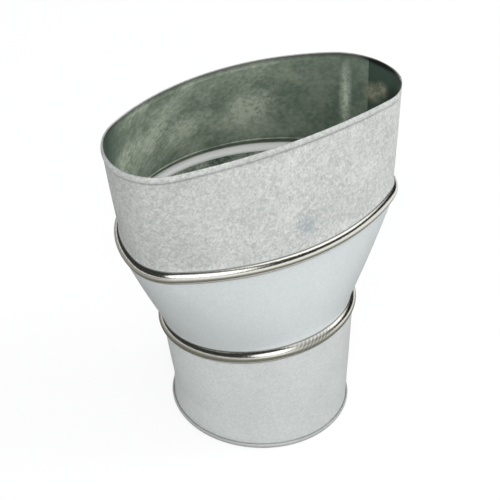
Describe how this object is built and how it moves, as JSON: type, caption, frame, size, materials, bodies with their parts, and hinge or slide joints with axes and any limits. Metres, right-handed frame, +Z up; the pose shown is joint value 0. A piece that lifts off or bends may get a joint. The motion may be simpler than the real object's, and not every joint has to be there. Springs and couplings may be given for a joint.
{
  "type": "oval-to-round duct adapter",
  "caption": "Sheet-steel duct adapter, open right through, tapering from an oval collar down to a round collar, its rolled sheets locked at half-round beads.",
  "frame": {"origin": "centre of the round collar's lower edge", "axes": "+Z up along the round bore's axis, +X along the oval's long axis towards the lap seams, +Y towards the oval's deeper side"},
  "size_m": [0.1841, 0.1271, 0.1978],
  "materials": {
    "lower_sheet": "galvanised, satin with a fine spangle",
    "middle_sheet": "galvanised, satin with a fine spangle",
    "upper_sheet": "galvanised, satin with a coarser speckle"
  },
  "bodies": {
    "root": {"round_collar": "lower_sheet", "transition": "middle_sheet", "oval_collar": "upper_sheet"}
  },
  "joints": []
}
